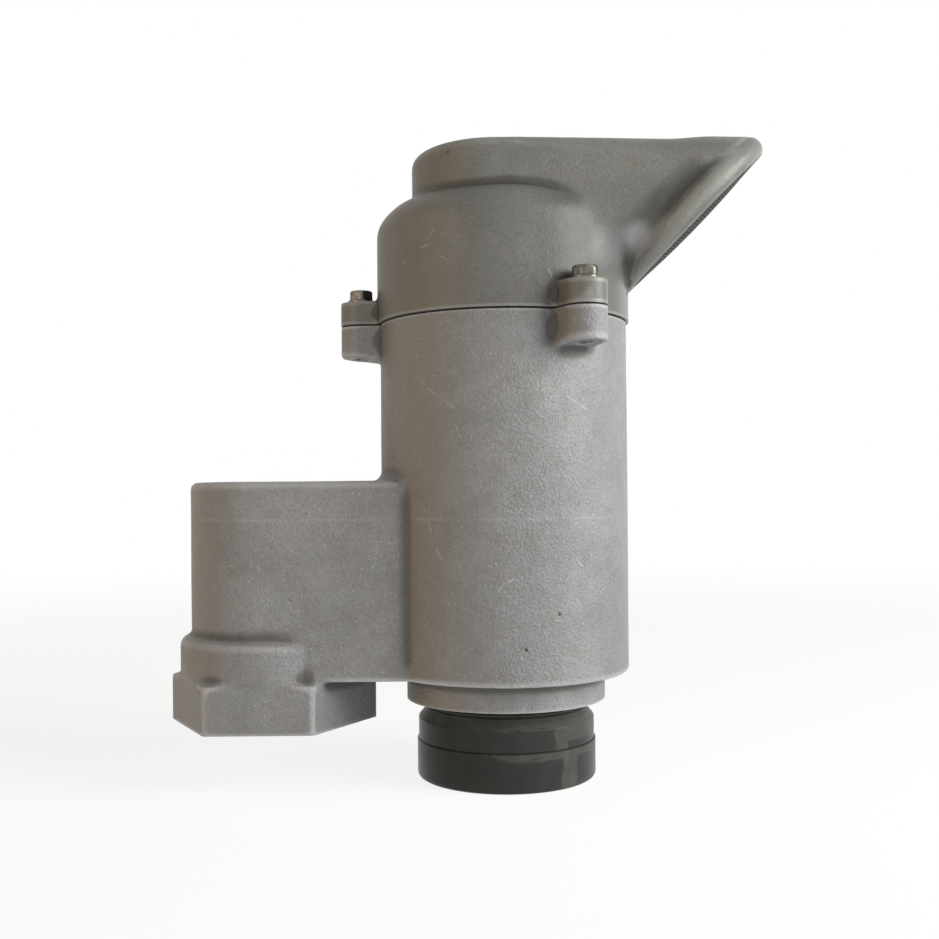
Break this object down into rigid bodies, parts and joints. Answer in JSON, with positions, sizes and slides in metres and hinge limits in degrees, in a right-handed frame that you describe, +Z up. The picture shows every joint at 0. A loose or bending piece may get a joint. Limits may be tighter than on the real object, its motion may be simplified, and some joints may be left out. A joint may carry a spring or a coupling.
{
  "type": "flame arrester",
  "caption": "Cast aluminium flame arrester vent with a threaded side inlet, weighted pressure and vacuum pallets, a hooded screened outlet and a dark vacuum housing.",
  "frame": {"origin": "centre of the threaded inlet at the bottom face of its hex", "axes": "+Z up along the body, +X from the inlet towards the body's axis and on towards the mouth, -Y towards the viewer of the picture"},
  "size_m": [0.2539, 0.1224, 0.2691],
  "materials": {
    "body_cast": "sand cast, matt and grainy",
    "hood_cast": "cast, smooth and weathered",
    "dark_housing": "hard anodised, dark, with damp patches",
    "screw_steel": "plain steel, slightly worn",
    "screen_wire": "woven wire, dull",
    "machined": "turned",
    "ribbon": "rolled foil",
    "stem_steel": "ground",
    "weight_brass": "turned brass",
    "gasket": "fibre gasket, black",
    "seal": "soft seal"
  },
  "bodies": {
    "housing": {"body_casting": "body_cast", "hood_casting": "hood_cast", "hood_gasket": "gasket", "hood_screws": "screw_steel", "screw_lock_washers": "screw_steel", "mouth_screen": "screen_wire", "mouth_screen_ring": "machined", "element_lower_grid": "machined", "element_shroud": "machined", "element_core": "machined", "element_flat_ribbon": "ribbon", "element_crimped_ribbon": "ribbon", "element_upper_grid": "machined", "element_gasket": "gasket", "pressure_seat_body": "machined", "vacuum_housing": "dark_housing", "vacuum_housing_gasket": "gasket", "vacuum_guide_spider": "machined", "vacuum_screen_snap_ring": "stem_steel", "vacuum_element_shroud": "machined", "vacuum_element_core": "machined", "vacuum_element_flat_ribbon": "ribbon", "vacuum_element_crimped_ribbon": "ribbon", "vacuum_screen": "screen_wire"},
    "pressure_valve": {"pressure_pallet": "machined", "pressure_seal_disc": "seal", "pressure_seal_retainer": "stem_steel", "pressure_stem": "stem_steel", "pressure_stem_nuts": "stem_steel", "pressure_weight": "weight_brass"},
    "vacuum_valve": {"vacuum_pallet": "machined", "vacuum_seal_disc": "seal", "vacuum_seal_retainer": "stem_steel", "vacuum_stem": "stem_steel", "vacuum_stem_nuts": "stem_steel"}
  },
  "joints": [
    {"name": "pressure_lift", "type": "slide", "parent": "housing", "child": "pressure_valve", "axis": [0, 0, 1], "range_m": [0, 0.012]},
    {"name": "vacuum_lift", "type": "slide", "parent": "housing", "child": "vacuum_valve", "axis": [0, 0, 1], "range_m": [0, 0.008]}
  ]
}
